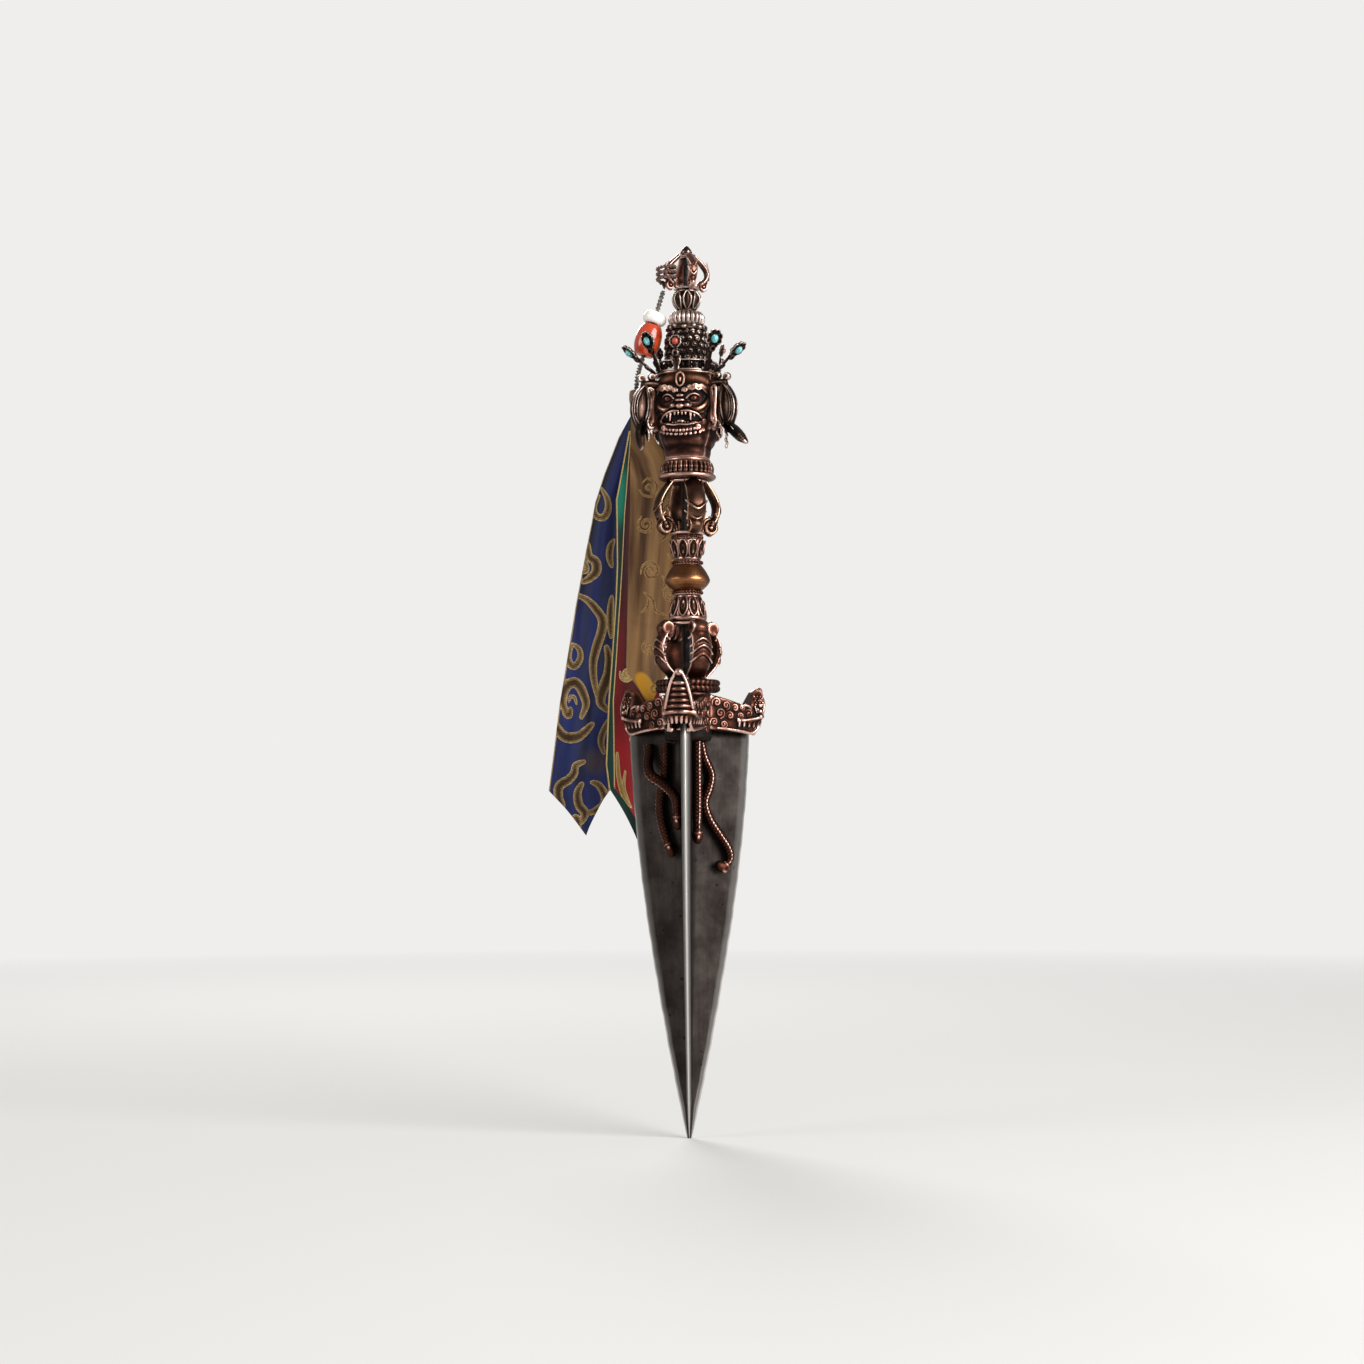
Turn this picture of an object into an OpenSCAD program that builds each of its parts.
// Three-bladed ritual dagger, point down, with its tassel.
// Millimetres, +Z up the handle, origin at the blade's tip. The front monster looks along -Y.
// The blade's front wing is turned a little to the right of it, the faces to the left.

/* [Blade] */
// Length of the blade from its tip to its shoulders
blade_length = 131.6; // [120:0.5:145]
// Reach of each wing from the axis at the shoulders
wing_reach = 23.4; // [20:0.2:26]
// Thickness of a wing at the shoulders
wing_t = 3.2; // [2.6:0.1:3.8]
// Thickness of a wing near the tip
wing_tip_t = 1.4; // [1:0.1:2]
// Depth of the bevel that sharpens a wing's edge
bevel_depth = 2.2; // [1.5:0.1:3]
// Turn of the blade and its snakes from the monsters above, towards the right
blade_turn = 4; // [0:1:5]
// Radius of the small flat at the very tip
tip_r = 0.6; // [0.4:0.1:1]
// Radius of the tang that enters the block
tang_r = 3.0; // [2.4:0.1:3.6]

/* [Core rod] */
// Radius of the rod through the castings
rod_r = 1.9; // [1.5:0.1:2.3]
// Radius of the rod's thin end in the top cage
rod_end_r = 1.1; // [0.8:0.1:1.3]
// Clearance between the rod or tang and each bore, on the radius
rod_fit = 0.1; // [0.05:0.01:0.2]

/* [Makara block and snakes] */
// Height of the block under the knot ring
block_h = 16.4; // [15:0.2:19]
// Radius of the block
block_r = 8.4; // [7.6:0.1:9]
// Reach of a monster's snout from the axis
snout_reach = 27.6; // [25:0.2:30]
// Width of a monster's head at the block
makara_w = 13.4; // [11:0.2:14]
// Width of a monster's snout at its end
snout_w = 6.4; // [5:0.2:8]
// Rise of the front snout over the top of the block
front_snout_rise = 6.6; // [2:0.2:8]
// Rise of the other two snouts over the top of the block
side_snout_rise = 2.4; // [1:0.2:5]
// Turn of the left monster towards the front
left_snout_turn = 3; // [0:0.5:5]
// Radius of a snake's body
snake_r = 1.6; // [1.1:0.05:1.7]
// Radius of a snake's head
snake_head_r = 1.95; // [1.5:0.05:2.1]

/* [Lower handle] */
// Height of the knotted ring
knot_h = 4.2; // [3.4:0.1:5]
// Radius of the knotted ring
knot_r = 11; // [10:0.1:12]
// Height of the lower cage
lower_cage_h = 19.8; // [17:0.2:23]
// Radius of the lower cage over its prongs
lower_cage_r = 12; // [11:0.1:13]
// Width of a lower prong
lower_prong_w = 7; // [5:0.2:8]
// Height of the lower lotus
lower_lotus_h = 8.6; // [7:0.1:10]
// Radius of the lower lotus
lower_lotus_r = 6.5; // [6:0.1:7.5]
// Height of a beaded ring
bead_ring_h = 1.8; // [1.4:0.1:2.4]
// Radius of the beaded rings
bead_ring_r = 5.4; // [5:0.1:6]
// Height of the smooth knob
bulb_h = 8.4; // [7:0.1:10]
// Radius of the smooth knob
bulb_r = 7.7; // [7:0.1:8.5]

/* [Upper handle] */
// Height of the upper lotus
upper_lotus_h = 7; // [6:0.1:8]
// Radius of the upper lotus
upper_lotus_r = 6.2; // [5.6:0.1:7]
// Height of the ring under the upper cage
cage_ring_h = 1.4; // [1:0.1:2]
// Radius of the ring under the upper cage
cage_ring_r = 5.6; // [5:0.1:6.5]
// Height of the upper cage
upper_cage_h = 18.6; // [16:0.2:22]
// Radius of the upper cage over its prongs
upper_cage_r = 11.6; // [10.6:0.1:12.4]
// Width of an upper prong
upper_prong_w = 6.6; // [5:0.2:8]
// Radial thickness of a prong
prong_t = 2.6; // [2:0.1:3]
// Height of the petal collar under the neck
collar_h = 7; // [6:0.1:8]
// Radius of the petal collar
collar_r = 9.8; // [9.2:0.1:10.4]

/* [Head] */
// Height of the neck
neck_h = 7.2; // [6:0.1:9]
// Radius of the neck
neck_r = 8; // [7:0.1:8.6]
// Height of the faces, chin to crown
face_h = 21.6; // [20:0.2:25]
// Radius of the head at the faces
face_r = 11; // [10.4:0.1:11.4]
// Turn of the faces from the wings below them, towards the left
face_turn = 5; // [0:1:7]
// Reach of the noses and brows in front of the face
feature_reach = 1.6; // [1:0.1:2]
// Height of the crown band
band_h = 4; // [3.6:0.1:6]
// Radius of the skull inside the crown band
skull_r = 9.6; // [9:0.1:10]
// Wall of the crown band
band_t = 1.1; // [0.8:0.1:1.4]
// Reach of the ribbon ornaments from the axis
ornament_reach = 25; // [22:0.5:27]
// Thickness of a ribbon ornament
ornament_t = 2.6; // [2:0.1:3]

/* [Crown leaves] */
// Thickness of a crown leaf
leaf_t = 1.2; // [0.8:0.1:1.4]
// Length of a rosette leaf from its foot to the rosette's centre
leaf_l = 10.8; // [9:0.1:11]
// Radius of a rosette over its petals
rosette_r = 3.45; // [3:0.05:3.5]
// Lean of a rosette leaf from upright
leaf_lean = 24; // [15:1:30]
// Lean of the two leaves that are pushed out
pushed_lean = 50; // [45:1:55]
// Turn of the front centre leaf from the front wing, towards the left
front_leaf_turn = 11; // [5:1:12]
// Length of a centre leaf from its foot to its stone
centre_leaf_l = 9.2; // [8:0.1:9.5]
// Radius of a centre leaf's flower
centre_flower_r = 2.2; // [1.9:0.1:2.2]
// Lean of a centre leaf from upright
centre_lean = 6; // [2:1:10]
// Radius of a turquoise
turquoise_r = 1.15; // [0.9:0.05:1.4]
// Radius of a coral cabochon
cabochon_r = 1.1; // [0.9:0.05:1.3]

/* [Finial] */
// Height of the topknot of hair
topknot_h = 10.9; // [8:0.1:11.5]
// Radius of the topknot
topknot_r = 7.6; // [7:0.1:7.7]
// Height of the saucer
saucer_h = 2.2; // [1.8:0.1:2.6]
// Radius of the saucer
saucer_r = 7.2; // [6.6:0.1:7.3]
// Height of the finial's lotus
finial_lotus_h = 4.7; // [4:0.1:5.5]
// Radius of the finial's lotus
finial_lotus_r = 6.3; // [5.6:0.1:6.5]
// Height of the finial's bud
bud_h = 7.3; // [6:0.1:8]
// Radius of the finial's bud
bud_r = 5.1; // [4.6:0.1:5.6]
// Height of the top cage
finial_cage_h = 12; // [11:0.1:13]
// Radius of the top cage over its prongs
finial_cage_r = 8.3; // [8:0.1:8.6]
// Width of a top prong
finial_prong_w = 2.8; // [2.4:0.1:3]
// Radial thickness of a top prong
finial_prong_t = 2; // [1.8:0.1:2.2]
// Height of the pointed tip
tip_h = 3.5; // [3:0.1:4.5]
// Width of the pointed tip
tip_w = 4; // [3.4:0.1:4.6]

/* [Tassel] */
// Diameter of the tassel's cord
cord_d = 1.8; // [1.5:0.1:2]
// Diameter of the strand wound on the prong
strand_d = 1.3; // [1.1:0.1:1.4]
// Turns wound on the prong
turns = 3; // [2:1:4]
// Lean of the cord from plumb
cord_lean = 17.4; // [16:0.1:19]
// Distance from the pivot to the white bead's centre
white_bead_at = 9.95; // [9.6:0.05:10.3]
// Radius of the white bead
white_bead_r = 4; // [3.4:0.1:4.1]
// Thickness of the white bead along the cord
white_bead_t = 4.1; // [3.6:0.1:4.1]
// Radius of the coral bead
coral_bead_r = 4.5; // [4:0.1:4.6]
// Length of the coral bead along the cord
coral_bead_l = 11; // [10:0.1:11.4]
// Clearance between a bead's bore and the cord, on the radius
bead_fit = 0.3; // [0.25:0.05:0.4]
// Gap between the two beads
bead_gap = 0.3; // [0.3:0.05:0.5]
// Radius of the thread binding over the ribbons
binding_r = 2.6; // [2.3:0.1:3]
// Height of the thread binding
binding_h = 5.4; // [4.5:0.1:6]
// Thickness of a ribbon
ribbon_t = 0.6; // [0.5:0.05:0.7]
// Depth of a ribbon's folds each way
fold_depth = 0.8; // [0.4:0.1:0.9]
// How far the ribbons drift back behind the handle
drape_back = 13.5; // [13.5:0.5:16]

/* [Hidden] */
$fn = 48;

// Colours
IRON = "#7b7570";
DARK_IRON = "#35312f";
COPPER = "#9a6650";
BRASS = "#b8894a";

// Heights of the stack, from the tip up
z_block = blade_length;
z_knot = z_block + block_h;
z_lower_cage = z_knot + knot_h;
z_lower_lotus = z_lower_cage + lower_cage_h;
z_lower_beads = z_lower_lotus + lower_lotus_h;
z_bulb = z_lower_beads + bead_ring_h;
z_upper_beads = z_bulb + bulb_h;
z_upper_lotus = z_upper_beads + bead_ring_h;
z_cage_ring = z_upper_lotus + upper_lotus_h;
z_upper_cage = z_cage_ring + cage_ring_h;
z_collar = z_upper_cage + upper_cage_h;
z_neck = z_collar + collar_h;
z_face = z_neck + neck_h;
z_crown = z_face + face_h;
z_topknot = z_crown + band_h;
z_saucer = z_topknot + topknot_h;
z_finial_lotus = z_saucer + saucer_h;
z_bud = z_finial_lotus + finial_lotus_h;
z_finial_cage = z_bud + bud_h;
z_tip = z_finial_cage + finial_cage_h;

// Azimuths: the three sides and the corners between them, then what is turned a little from them
SIDE_AZ = [-90, 30, 150];
VALLEY_AZ = [-30, -150, 90];
MONSTER_AZ = [SIDE_AZ[0], SIDE_AZ[1], SIDE_AZ[2] - left_snout_turn];
CENTRE_LEAF_AZ = [SIDE_AZ[0] - front_leaf_turn, SIDE_AZ[1] - face_turn, SIDE_AZ[2] - face_turn];
BLADE_AZ = [for (az = SIDE_AZ) az + blade_turn];
SNAKE_AZ = [for (az = VALLEY_AZ) az + blade_turn];
lower_prong_az = 33;
prong_az = 24.5;

bore_r = rod_r + rod_fit;
ornament_drop = 0.6;
seat = 0.05;
tang_h = block_h - 2;
skull_fit = 0.1;
band_r = skull_r + skull_fit + band_t;

// Reach of a wing as a share of the full reach, at shares of the blade's length
WING_CURVE = [[0, 0.04], [0.09, 0.17], [0.186, 0.3], [0.26, 0.393], [0.4, 0.556],
              [0.55, 0.714], [0.7, 0.842], [0.85, 0.94], [1, 1]];

// Snake routes in a valley: sideways place, lift off the wings, drop below the shoulders. Where one crosses
// another, it is lifted by the other's thickness.
SNAKE_OUTER = [[0.8, 0.3, 0.4], [2, 0, 5], [4.3, 0, 11], [3.6, 0, 16], [2.2, 0, 20.5], [3.4, 0.2, 25.5],
               [6.5, 0.2, 30.5], [9.6, 0.2, 35.5], [10.2, 0.2, 39.5], [8, 0.3, 42], [5.6, 0.4, 40.6]];
SNAKE_INNER = [[-2.8, 0, 0.4], [-3.4, 0, 6], [-2.6, 0, 12], [-2.2, 0, 17], [-3.2, 0, 22], [-4.4, 0, 27],
               [-3.6, 0, 31], [-2.2, 0.2, 34]];
SNAKE_CROSSING = [[-10, 0.2, 0.8], [-9.6, 0.3, 4], [-7.8, 1.7 * snake_r, 8], [-4.6, 3 * snake_r, 11.5],
                  [-1.4, 2.1 * snake_r, 14.5], [-0.2, 0.8, 18.5], [0.4, 0.2, 24], [0.2, 0.2, 29.5]];
SNAKE_UNDER = [[-4.2, 0, 0.4], [-4.2, 0, 6], [-4.6, 0, 12], [-5.6, 0, 17], [-6, 0, 21], [-5.6, 0, 26],
               [-3.8, 0, 33], [-1.6, 0.2, 38.5]];

// The cord's pivot, just under the winding, and the route of the cord from there
PIVOT = [-7.8, -0.4, z_finial_cage + 0.2];
cord_dir = [-sin(cord_lean), 0, -cos(cord_lean)];
coral_bead_at = white_bead_at + white_bead_t / 2 + bead_gap + coral_bead_l / 2;
cord_bend_at = coral_bead_at + coral_bead_l / 2 + 1.4;
HINGE = [-18, 5, z_crown - 10.6];
binding_x = -18;
binding_y = 6.3;
binding_gap = 0.5;
ribbon_top_r = 1.6;
binding_z = HINGE[2] + ribbon_top_r + binding_gap;
BEND = PIVOT + cord_bend_at * cord_dir;
BINDING_TOP = [binding_x, binding_y, binding_z + binding_h];
CORD_ROUTE = [PIVOT, PIVOT + 5 * cord_dir, PIVOT + 10 * cord_dir, PIVOT + 15 * cord_dir,
              PIVOT + 20 * cord_dir, BEND, [BEND[0] - 1, BEND[1] + 1.6, BEND[2] - 2],
              BINDING_TOP + [0.4, -1.6, 3.8], BINDING_TOP + [0, 0, 1.6],
              BINDING_TOP + [0, 0, 0.15]];

// Winding round the left prong of the top cage
winding_r = 3;
winding_pitch = strand_d + 0.45;
winding_steps = 24;
winding_az = prong_az + 180;
winding_low = z_finial_cage + 2.9;
winding_from = 95;
winding_at = [7.2 * cos(winding_az), 7.2 * sin(winding_az)];

// Ribbon edges as pairs of drop below the hinge and place beside it, left then right
TOP_LEFT = [[-1.6, -0.5], [-1.2, -1.05], [0, -1.6]];
TOP_RIGHT = [[-1.6, 0.5], [-1.2, 1.05], [0, 1.6]];
GOLD_LEFT = [[8, -2.2], [20, -2.8], [34, -3.3], [51, -4.3], [69, -5], [86, -5.4], [103, -3]];
GOLD_RIGHT = [[7, 4.5], [11, 7], [16, 13], [23, 17], [29, 18], [64, 15], [84, 11.5], [103, 9]];
RED_LEFT = [[20, -4], [34, -5.7], [51, -7], [69, -8.5], [98, -10.6], [128, -10.2], [140, -9]];
RED_RIGHT = [[16, 2.6], [29, 4.4], [64, 6.4], [98, 6], [128, 5.6], [140, 4]];
GREEN_LEFT = [[20, -6.4], [29, -8.6], [51, -9], [64, -9.8], [98, -12.6], [120, -13.6], [147, -10]];
GREEN_RIGHT = [[16, 1.8], [29, 3], [64, 5.2], [98, 5.6], [125, 5.2], [147, 2]];
BLUE_LEFT = [[8, -7], [20, -12.8], [29, -16.4], [45, -20.2], [64, -24.2], [98, -29.8], [129, -33.8],
             [145, -29]];
BLUE_RIGHT = [[16, -1.6], [29, -6.2], [64, -7], [98, -10], [132, -12.8], [145, -12]];
ribbon_rows = 26;
ribbon_cols = 10;
drape_reach = 88;
layer_top = 0.95;
layer_low = 2 * fold_depth + ribbon_t + 0.45;
fold_start = 40;

function unit(v) = v / norm(v);
function polar(r, az, z) = [r * cos(az), r * sin(az), z];
function mix(a, b, t) = a + (b - a) * t;

// Smooth curve through hand-set points, with steps points between each two
function spline_point(p, i, t) =
    let (a = p[max(i - 1, 0)], b = p[i], c = p[i + 1], d = p[min(i + 2, len(p) - 1)])
    0.5 * (2 * b + (c - a) * t + (2 * a - 5 * b + 4 * c - d) * t * t + (3 * b - a - 3 * c + d) * t * t * t);
function spline(p, steps) = [
    for (i = [0 : len(p) - 2]) for (k = [0 : steps - 1]) spline_point(p, i, k / steps),
    p[len(p) - 1]
];

// Direction of a path at one of its points
function path_dir(path, i) = unit(path[min(i + 1, len(path) - 1)] - path[max(i - 1, 0)]);

// Closed tube along a path, with a radius and a sideways reference for each point
module tube(path, radii, refs, sides) {
    rings = len(path);
    points = [
        for (i = [0 : rings - 1])
            let (t = path_dir(path, i), n = unit(cross(t, refs[i])), b = cross(t, n))
            for (k = [0 : sides - 1])
                path[i] + radii[i] * (cos(360 * k / sides) * n + sin(360 * k / sides) * b)
    ];
    sides_faces = [
        for (i = [0 : rings - 2]) for (k = [0 : sides - 1])
            let (a = i * sides + k, b = i * sides + (k + 1) % sides)
            each [[a, a + sides, b + sides], [a, b + sides, b]]
    ];
    start = [for (k = [1 : sides - 2]) [0, k, k + 1]];
    last = (rings - 1) * sides;
    end = [for (k = [1 : sides - 2]) [last, last + k + 1, last + k]];
    polyhedron(concat(points), concat(sides_faces, start, end));
}

// Solid of revolution about the handle's axis with a bore for the rod, from pairs of radius and height
module turned(profile, z, bore = bore_r) {
    low = profile[0][1];
    high = profile[len(profile) - 1][1];
    translate([0, 0, z])
        rotate_extrude($fn = 72)
            polygon(concat([[bore, low]], profile, [[bore, high]]));
}

// Blade: cross-sections of a three-armed star, wide at the shoulders
module blade() {
    stations = [for (c = WING_CURVE) c[0]];
    points = [
        for (c = WING_CURVE)
            let (reach = max(c[1] * wing_reach, tip_r), half = mix(wing_tip_t, wing_t, c[0]) / 2,
                 z = c[0] * blade_length, bevel = min(bevel_depth, 0.6 * reach),
                 root = half / sin(60), narrow = min(half, 0.5 * (reach - bevel)))
            for (az = BLADE_AZ) each [
                polar(min(root, 0.5 * reach), az - 60, z),
                polar(reach - bevel, az, z) + narrow * [sin(az), -cos(az), 0],
                polar(reach, az, z),
                polar(reach - bevel, az, z) - narrow * [sin(az), -cos(az), 0]
            ]
    ];
    ring = 4 * len(BLADE_AZ);
    faces = [
        for (i = [0 : len(stations) - 2]) for (k = [0 : ring - 1])
            let (a = i * ring + k, b = i * ring + (k + 1) % ring)
            each [[a, a + ring, b + ring], [a, b + ring, b]]
    ];
    last = (len(stations) - 1) * ring;
    foot = last + ring;
    bottom = [for (k = [0 : ring - 1]) [foot, k, (k + 1) % ring]];
    top = [for (k = [0 : ring - 1]) [foot + 1, last + (k + 1) % ring, last + k]];
    color(IRON) {
        ends = [[0, 0, 0], [0, 0, blade_length]];
        polyhedron(concat(points, ends), concat(faces, bottom, top), convexity = 6);
        translate([0, 0, z_block - 4])
            cylinder(r = tang_r, h = tang_h + 4);
    }
}

// Rod through all the castings, thinner where it shows in the top cage
module core_rod() {
    color(DARK_IRON) {
        translate([0, 0, z_block + tang_h])
            cylinder(r = rod_r, h = z_finial_cage - z_block - tang_h);
        translate([0, 0, z_finial_cage])
            cylinder(r = rod_end_r, h = finial_cage_h);
    }
}

module makara_block() {
    color(COPPER)
        difference() {
            turned([[block_r - 1, 0.1], [block_r, 1], [block_r, block_h - 2], [block_r - 0.8, block_h]],
                   z_block);
            translate([0, 0, z_block - 1])
                cylinder(r = tang_r + rod_fit, h = tang_h + 1);
        }
}

// One monster's head: its side outline cut by its outline from above
module makara(az, rise) {
    top = block_h + rise;
    side = [
        [5, 3.6], [snout_reach - 6.2, 2], [snout_reach - 1, 7.5], [snout_reach - 1, top - 2.4],
        [snout_reach, top - 1.8], [snout_reach - 1, top - 0.4], [snout_reach - 2.8, top],
        [snout_reach - 5, top - 1.4], [snout_reach - 7, block_h - 4.4], [block_r + 4, block_h - 1.6],
        [5, block_h]
    ];
    plan = [
        [5, -makara_w / 2], [block_r + 5, -makara_w / 2 + 0.6], [snout_reach - 5, -snout_w / 2 - 0.6],
        [snout_reach, -snout_w / 2], [snout_reach, snout_w / 2], [snout_reach - 5, snout_w / 2 + 0.6],
        [block_r + 5, makara_w / 2 - 0.6], [5, makara_w / 2]
    ];
    color(COPPER)
        difference() {
            intersection() {
                rotate([0, 0, az]) translate([0, 0, z_block]) rotate([90, 0, 0])
                    linear_extrude(makara_w + 2, center = true) polygon(side);
                rotate([0, 0, az]) translate([0, 0, z_block])
                    linear_extrude(top + 1) polygon(plan);
            }
            translate([0, 0, z_block - 1])
                cylinder(r = block_r + seat, h = block_h + 20, $fn = 72);
        }
}

// One snake lying in a valley between two wings, its head at the lower end
module snake(valley_az, route) {
    path = [
        for (p = spline(route, 3))
            let (out = (wing_t / 2 + snake_r + seat + abs(p[0]) / 2) / sin(60) + p[1])
            polar(out, valley_az, z_block - p[2]) + p[0] * [-sin(valley_az), cos(valley_az), 0]
    ];
    last = len(path) - 1;
    radii = [for (i = [0 : last])
        i == last ? 0.45 * snake_head_r : i > last - 3 ? snake_head_r
        : i > last - 6 ? snake_r * 0.85 : snake_r];
    refs = [for (p = path) [cos(valley_az), sin(valley_az), 0]];
    color(COPPER) tube(path, radii, refs, 8);
}

module knot_ring() {
    color(COPPER)
        turned([[knot_r - 2, 0], [knot_r, knot_h * 0.28], [knot_r - 0.7, knot_h / 2],
                [knot_r, knot_h * 0.72], [knot_r - 2, knot_h]], z_knot);
}

// Openwork cage of four prongs between a foot ring and a top ring
module cage(z, h, r, foot_r, top_r, width, thick, az, ring_h, bore, top_bore) {
    steps = 16;
    lap = 0.25;
    function bow(t) = mix(foot_r, top_r, t) + (r - mix(foot_r, top_r, 0.5)) * pow(sin(180 * t), 0.8);
    outer = [for (i = [0 : steps]) [bow(i / steps), h * i / steps]];
    inner = [for (i = [steps : -1 : 0]) [bow(i / steps) - thick, h * i / steps]];
    translate([0, 0, z]) {
        intersection() {
            rotate_extrude($fn = 72) polygon(concat(outer, inner));
            rotate([0, 0, az])
                for (k = [0 : 3]) rotate([0, 0, 90 * k])
                    translate([0, -width / 2, 0]) cube([2 * r, width, h]);
        }
        rotate_extrude($fn = 72) translate([bore, 0]) square([foot_r + lap - bore, ring_h]);
        if (top_bore > 0)
            translate([0, 0, h - ring_h])
                rotate_extrude($fn = 72) translate([top_bore, 0]) square([top_r + lap - top_bore, ring_h]);
    }
}

module lower_cage() {
    color(COPPER)
        cage(z_lower_cage, lower_cage_h, lower_cage_r, 6.2, 6, lower_prong_w, prong_t, lower_prong_az,
             1.4, bore_r, bore_r);
}

module lower_lotus() {
    r = lower_lotus_r;
    h = lower_lotus_h;
    color(COPPER)
        turned([[r - 1, 0], [r, h * 0.16], [r, h * 0.42], [r - 1.6, h * 0.56], [r - 0.8, h * 0.82],
                [r - 1.4, h]], z_lower_lotus);
}

module bead_ring(z) {
    color(COPPER)
        turned([[bead_ring_r - 0.7, 0], [bead_ring_r, bead_ring_h * 0.35], [bead_ring_r, bead_ring_h * 0.65],
                [bead_ring_r - 0.7, bead_ring_h]], z);
}

module bulb() {
    steps = 10;
    low = 0.3 * bulb_h;
    dome = [for (i = [0 : steps]) let (a = 78 * i / steps)
        [bulb_r * pow(cos(a), 0.6), low + (bulb_h - low) * sin(a)
            / sin(78)]];
    color(BRASS)
        turned(concat([[bulb_r - 2.2, 0], [bulb_r - 0.5, low * 0.4]], dome), z_bulb);
}

module upper_lotus() {
    r = upper_lotus_r;
    h = upper_lotus_h;
    color(COPPER)
        turned([[r - 1.6, 0], [r - 0.9, h * 0.2], [r - 1.7, h * 0.45], [r, h * 0.62], [r, h * 0.86],
                [r - 0.8, h]], z_upper_lotus);
}

module cage_ring() {
    color(COPPER)
        turned([[cage_ring_r - 0.5, 0], [cage_ring_r, cage_ring_h / 2], [cage_ring_r - 0.5, cage_ring_h]],
               z_cage_ring);
}

module upper_cage() {
    color(BRASS)
        cage(z_upper_cage, upper_cage_h, upper_cage_r, 5.8, 6.6, upper_prong_w, prong_t, prong_az,
             1.2, bore_r, bore_r);
}

module neck_collar() {
    h = collar_h;
    color(COPPER)
        turned([[collar_r - 2.4, 0], [collar_r, h * 0.1], [collar_r - 0.2, h * 0.3],
                [collar_r - 1.2, h * 0.42],
                [collar_r - 0.4, h * 0.7], [neck_r, h]], z_collar);
}

// Masses of one face on the barrel of the head: a bulging mask with its nose and eyes
module face(az) {
    mask_r = 6.2;
    nose_r = 2;
    eye_r = 2.1;
    front = face_r + feature_reach;
    rotate([0, 0, az]) translate([0, 0, z_face]) {
        translate([front - 0.6 - mask_r, 0, face_h * 0.1]) cylinder(r = mask_r, h = face_h * 0.62);
        translate([front + 0.3 - nose_r, 0, face_h * 0.4]) cylinder(r = nose_r, h = face_h * 0.24);
        for (s = [-1, 1])
            translate([front - 5, s * 4.3, face_h * 0.6]) rotate([0, 90, 0]) cylinder(r = eye_r, h = 4.7);
    }
}

// Two ears beside each corner of the head, as flat lobed plates
module ears(corner_az) {
    ear = [[skull_r - 1, 0], [face_r + 2.6, 1.5], [face_r + 3.4, 5], [face_r + 2.6, 12],
           [face_r + 3.6, 16], [face_r + 1.4, 18], [skull_r - 1, 17]];
    for (s = [-1, 1])
        rotate([0, 0, corner_az + 14 * s]) translate([0, 0, z_face]) rotate([90, 0, 0])
            linear_extrude(1.8, center = true) polygon(ear);
}

module head() {
    color(COPPER)
        difference() {
            union() {
                turned([[neck_r - 0.4, 0], [neck_r, neck_h * 0.5], [neck_r, neck_h],
                        [face_r - 1.6, neck_h + 0.8], [face_r, neck_h + face_h * 0.2],
                        [face_r, neck_h + face_h * 0.6], [face_r - 0.6, neck_h + face_h],
                        [skull_r, neck_h + face_h], [skull_r, neck_h + face_h + band_h]], z_neck, 0);
                for (az = SIDE_AZ) face(az - face_turn);
                for (az = VALLEY_AZ) ears(az);
            }
            translate([0, 0, z_neck - 1]) cylinder(r = bore_r, h = z_topknot - z_neck + 2);
        }
}

// Ribbon ornament in the plane of a corner between two faces: one end is kicked out to a point, or hangs
// straight
module ornament(az, hangs = false) {
    r = ornament_reach;
    bow = [[face_r + 0.2, 0.6], [face_r + 4, 0.6], [r - 5.8, -3], [r - 5, -12], [r - 5.4, -18]];
    kicked_end = [[r, -24.4], [r - 1, -25.4], [r - 7.6, -20.4], [r - 8.4, -14]];
    hanging_end = [[r - 6.2, -24.6], [r - 7.8, -26], [r - 9, -24.6], [r - 8.8, -14]];
    outline = concat(bow, hangs ? hanging_end : kicked_end, [[face_r + 2, -8.4], [face_r + 0.2, -8]]);
    color(COPPER)
        rotate([0, 0, az]) translate([0, 0, z_crown - ornament_drop]) rotate([90, 0, 0])
            linear_extrude(ornament_t, center = true) polygon(outline);
}

module crown_band() {
    color(COPPER)
        turned([[band_r, 0], [band_r, band_h * 0.3], [band_r - 0.4, band_h * 0.5],
                [band_r, band_h * 0.7], [band_r, band_h]], z_crown, skull_r + skull_fit);
}

// Places its children in the plane of a crown leaf: +X outward, +Z up the leaf, from its foot
module on_leaf(az, lean) {
    rotate([0, 0, az]) translate([band_r + leaf_t / 2 + seat, 0, z_crown + 0.3]) rotate([0, lean, 0])
        children();
}

// Leaf with a scalloped flower at its end and a small ring under it
module leaf(az, lean, length, flower_r, stem_w) {
    petals = 8;
    petal_r = 0.27 * flower_r;
    color(COPPER)
        on_leaf(az, lean) {
            translate([-leaf_t / 2, -stem_w / 2, 0]) cube([leaf_t, stem_w, length]);
            translate([0, 0, length]) rotate([0, 90, 0]) {
                cylinder(r = flower_r - petal_r, h = leaf_t, center = true);
                for (k = [0 : petals - 1]) rotate([0, 0, 360 * (k + 0.5) / petals])
                    translate([flower_r - petal_r, 0, 0])
                        cylinder(r = petal_r, h = leaf_t, center = true, $fn = 20);
            }
        }
}

// Domed stone seated on a leaf's flower
module stone(az, lean, length, r) {
    on_leaf(az, lean)
        translate([leaf_t / 2 + seat, 0, length])
            intersection() {
                sphere(r = r);
                translate([0, -r, -r]) cube([r, 2 * r, 2 * r]);
            }
}

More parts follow.
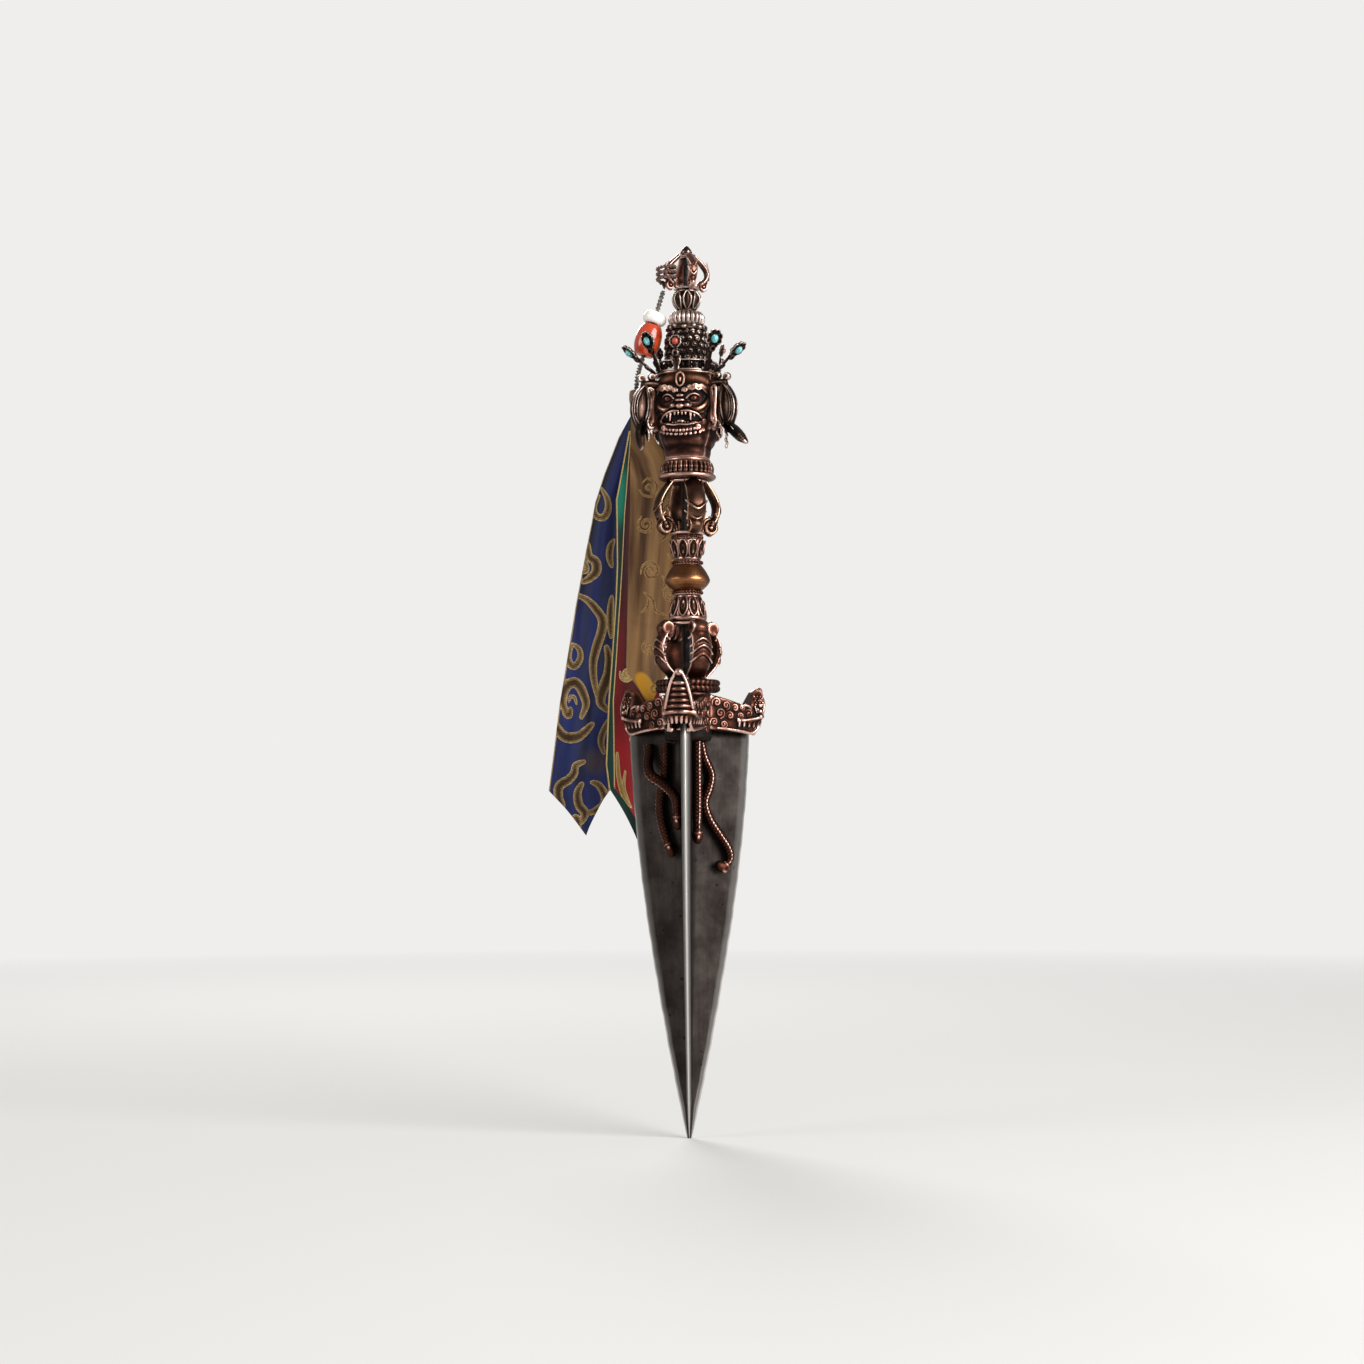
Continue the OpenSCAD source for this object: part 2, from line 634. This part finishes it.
// Azimuth and lean of each rosette leaf; the first is the one that the coral bead has pushed out
ROSETTES = [[-158, pushed_lean], [-137, leaf_lean], [-49, leaf_lean], [-24.5, pushed_lean],
            [76.5, leaf_lean], [103.5, leaf_lean]];

module rosette(k) {
    leaf(ROSETTES[k][0], ROSETTES[k][1], leaf_l, rosette_r, 2.4);
}

module crown_leaf(az) {
    leaf(az, centre_lean, centre_leaf_l, centre_flower_r, 2);
}

module turquoise_stones() {
    color("#5fb5b5")
        for (r = ROSETTES) stone(r[0], r[1], leaf_l, turquoise_r);
}

module coral_stones() {
    color("#b0483a")
        for (az = CENTRE_LEAF_AZ) stone(az, centre_lean, centre_leaf_l, cabochon_r);
}

module topknot() {
    h = topknot_h;
    color(COPPER)
        turned([[topknot_r - 0.6, 0], [topknot_r, h * 0.3], [topknot_r, h * 0.7], [topknot_r - 1, h]],
               z_topknot);
}

module saucer() {
    color(COPPER)
        turned([[saucer_r - 1.4, 0], [saucer_r, saucer_h * 0.5], [saucer_r - 0.5, saucer_h]], z_saucer);
}

module finial_lotus() {
    r = finial_lotus_r;
    h = finial_lotus_h;
    color(COPPER)
        turned([[r - 0.8, 0], [r, h * 0.3], [r - 0.3, h * 0.75], [r - 1.8, h]], z_finial_lotus);
}

module finial_bud() {
    r = bud_r;
    h = bud_h;
    color(COPPER)
        turned([[r - 1.7, 0], [r - 1.3, h * 0.25], [r, h * 0.6], [r, h * 0.8], [r - 1, h]], z_bud);
}

module finial_cage() {
    color(COPPER)
        cage(z_finial_cage, finial_cage_h, finial_cage_r, 4.4, 3.2, finial_prong_w, finial_prong_t, prong_az,
             1, rod_end_r + rod_fit, 0);
}

module finial_tip() {
    w = tip_w / 2;
    outline = [[0, 0], [w - 0.4, 0], [w, tip_h * 0.2], [w, tip_h * 0.45], [0.5, tip_h], [0, tip_h]];
    color(COPPER)
        translate([0, 0, z_tip]) rotate([0, 0, prong_az])
            intersection() {
                rotate_extrude() polygon(outline);
                translate([-w, -w, 0]) cube([2 * w, 2 * w, tip_h]);
            }
}

// The strand wound on the prong, then led straight down to the cord
winding_path = concat(
    [for (i = [0 : turns * winding_steps])
        let (a = winding_from + 360 * (turns - i / winding_steps))
        [winding_at[0] + winding_r * cos(a), winding_at[1] + winding_r * sin(a),
         winding_low + winding_pitch * (turns - i / winding_steps)]],
    [[winding_at[0] + 0.35, winding_at[1] + 3.1, winding_low - 0.35],
     [PIVOT[0] + 1.2, PIVOT[1] + 0.2, winding_low - 0.8],
     [PIVOT[0] + 0.5, PIVOT[1] + 0.1, PIVOT[2] + 1.5],
     [PIVOT[0] + 0.35, PIVOT[1], PIVOT[2] + 1.2]]
);

module cord_winding() {
    refs = [for (p = winding_path) unit([p[0] - winding_at[0], p[1] - winding_at[1], 0])];
    radii = [for (p = winding_path) strand_d / 2];
    color("#3a322c") tube(winding_path, radii, refs, 6);
}

// Least gap between turns, measured on points at least half a turn apart
winding_gap = min([
    for (i = [0 : 2 : len(winding_path) - 1]) for (j = [i + winding_steps / 2 : 2 : len(winding_path) - 1])
        norm(winding_path[i] - winding_path[j])
]) - strand_d;
echo(least_gap_in_the_winding = winding_gap);

// The cord, with a round end at its pivot
module tassel_cord() {
    cap = [for (a = [80, 50, 25]) PIVOT - cord_d / 2 * sin(a) * cord_dir];
    path = concat(cap, spline(CORD_ROUTE, 2));
    radii = [for (i = [0 : len(path) - 1])
        cord_d / 2 * (i == 0 ? cos(80) : i == 1 ? cos(50) : i == 2 ? cos(25) : 1)];
    refs = [for (p = path) [0, 0.2, 0.1] + [1, 0, 0]];
    color("#4a4038") tube(path, radii, refs, 8);
}

// Places its children along the cord: +Z runs up the cord
module on_cord(distance) {
    translate(PIVOT + distance * cord_dir) rotate([0, cord_lean, 0]) children();
}

module white_bead() {
    bore = cord_d / 2 + bead_fit;
    half = white_bead_t / 2;
    steps = 12;
    rim = [for (i = [0 : steps]) let (a = -90 + 180 * i / steps)
        [white_bead_r - half + half * cos(a), half * sin(a)]];
    color("#ece6dc")
        on_cord(white_bead_at)
            rotate_extrude() polygon(concat([[bore, -half]], rim, [[bore, half]]));
}

module coral_bead() {
    bore = cord_d / 2 + bead_fit;
    half = coral_bead_l / 2;
    steps = 10;
    side = [for (i = [0 : steps]) let (t = -1 + 2 * i / steps)
        [coral_bead_r * (1 - 0.34 * pow(abs(t), 2.4)), half * t]];
    color("#c8431f")
        on_cord(coral_bead_at)
            rotate_extrude() polygon(concat([[bore, -half]], side, [[bore, half]]));
}

module ribbon_binding() {
    color("#7a5a34")
        translate([binding_x, binding_y, binding_z])
            rotate_extrude()
                polygon([[0, 0], [binding_r - 0.3, 0], [binding_r, 0.5], [binding_r, binding_h - 0.8],
                         [cord_d / 2 + 0.4, binding_h], [0, binding_h]]);
}

// How far back a ribbon lies, from its distance to the hinge alone, so that ribbons swing clear of each other
function drape(reach) = drape_back * sin(90 * min(1, reach / drape_reach));
function layer_y(layer, reach) = layer * mix(layer_top, layer_low, min(1, reach / fold_start));
function fold_y(u, drop, reach, folds, phase) =
    fold_depth * min(1, reach / fold_start) * sin(360 * folds * u + phase + 50 * sin(2.2 * drop));

// One hanging ribbon: a sheet with main folds, narrow at the hinge and pointed at its lower end
module ribbon(layer, left, right, side_drop, tip_drop, tip_u, folds, phase) {
    left_edge = concat(TOP_LEFT, left);
    right_edge = concat(TOP_RIGHT, right);
    top_drop = TOP_LEFT[0][0];
    function end_drop(u) = mix(tip_drop, side_drop, min(1, abs(u - tip_u) / max(tip_u, 1 - tip_u)));
    function sheet_point(i, j, side) =
        let (u = j / ribbon_cols, s = pow(i / ribbon_rows, 1.5),
             drop = mix(top_drop, end_drop(u), s),
             x = mix(lookup(drop, left_edge), lookup(drop, right_edge), u),
             reach = norm([x, drop]))
        HINGE + [x, drape(reach) + layer_y(layer, reach) + fold_y(u, drop, reach, folds, phase)
                 + side * ribbon_t / 2, -drop];
    cols = ribbon_cols + 1;
    back = (ribbon_rows + 1) * cols;
    points = [for (side = [-1, 1]) for (i = [0 : ribbon_rows]) for (j = [0 : ribbon_cols])
        sheet_point(i, j, side)];
    sheets = [
        for (i = [0 : ribbon_rows - 1]) for (j = [0 : ribbon_cols - 1])
            let (a = i * cols + j, b = a + 1, c = a + cols, d = c + 1)
            each [[a, b, d], [a, d, c], [back + a, back + d, back + b], [back + a, back + c, back + d]]
    ];
    edges = [
        for (i = [0 : ribbon_rows - 1])
            let (a = i * cols, c = a + cols, e = a + ribbon_cols, f = c + ribbon_cols)
            each [[a, c, back + c], [a, back + c, back + a], [e, back + e, back + f], [e, back + f, f]],
        for (j = [0 : ribbon_cols - 1])
            let (b = j, e = ribbon_rows * cols + j)
            each [[b, back + b, back + b + 1], [b, back + b + 1, b + 1],
                  [e, e + 1, back + e + 1], [e, back + e + 1, back + e]]
    ];
    polyhedron(points, concat(sheets, edges), convexity = 8);
}

module gold_ribbon() {
    color("#b99a4e") ribbon(0, GOLD_LEFT, GOLD_RIGHT, 86, 101, 0.45, 1, 0);
}

module red_ribbon() {
    color("#a3221f") ribbon(1, RED_LEFT, RED_RIGHT, 128, 139, 0.5, 1, 60);
}

module green_ribbon() {
    color("#1f5a48") ribbon(2, GREEN_LEFT, GREEN_RIGHT, 128, 146, 0.62, 1, 140);
}

module blue_ribbon() {
    color("#2f4a8f") ribbon(3, BLUE_LEFT, BLUE_RIGHT, 129, 144.5, 0.5, 1.5, 20);
}

blade();
core_rod();
makara_block();
makara(MONSTER_AZ[0], front_snout_rise);  // makara_front
makara(MONSTER_AZ[1], side_snout_rise);  // makara_right
makara(MONSTER_AZ[2], side_snout_rise);  // makara_left
snake(SNAKE_AZ[0], SNAKE_OUTER);  // snake_right_outer
snake(SNAKE_AZ[0], SNAKE_INNER);  // snake_right_inner
snake(SNAKE_AZ[1], SNAKE_CROSSING);  // snake_left_outer
snake(SNAKE_AZ[1], SNAKE_UNDER);  // snake_left_inner
snake(SNAKE_AZ[2], SNAKE_OUTER);  // snake_back_outer
snake(SNAKE_AZ[2], SNAKE_INNER);  // snake_back_inner
knot_ring();
lower_cage();
lower_lotus();
bead_ring(z_lower_beads);  // lower_bead_ring
bulb();
bead_ring(z_upper_beads);  // upper_bead_ring
upper_lotus();
cage_ring();
upper_cage();
neck_collar();
head();
ornament(VALLEY_AZ[0]);  // ornament_right
ornament(VALLEY_AZ[1], hangs = true);  // ornament_left
ornament(VALLEY_AZ[2]);  // ornament_back
crown_band();
crown_leaf(CENTRE_LEAF_AZ[0]);  // crown_leaf_front
crown_leaf(CENTRE_LEAF_AZ[1]);  // crown_leaf_right
crown_leaf(CENTRE_LEAF_AZ[2]);  // crown_leaf_left
rosette(0);  // rosette_1
rosette(1);  // rosette_2
rosette(2);  // rosette_3
rosette(3);  // rosette_4
rosette(4);  // rosette_5
rosette(5);  // rosette_6
turquoise_stones();
coral_stones();
topknot();
saucer();
finial_lotus();
finial_bud();
finial_cage();
finial_tip();
cord_winding();
tassel_cord();
white_bead();
coral_bead();
ribbon_binding();
gold_ribbon();
red_ribbon();
green_ribbon();
blue_ribbon();
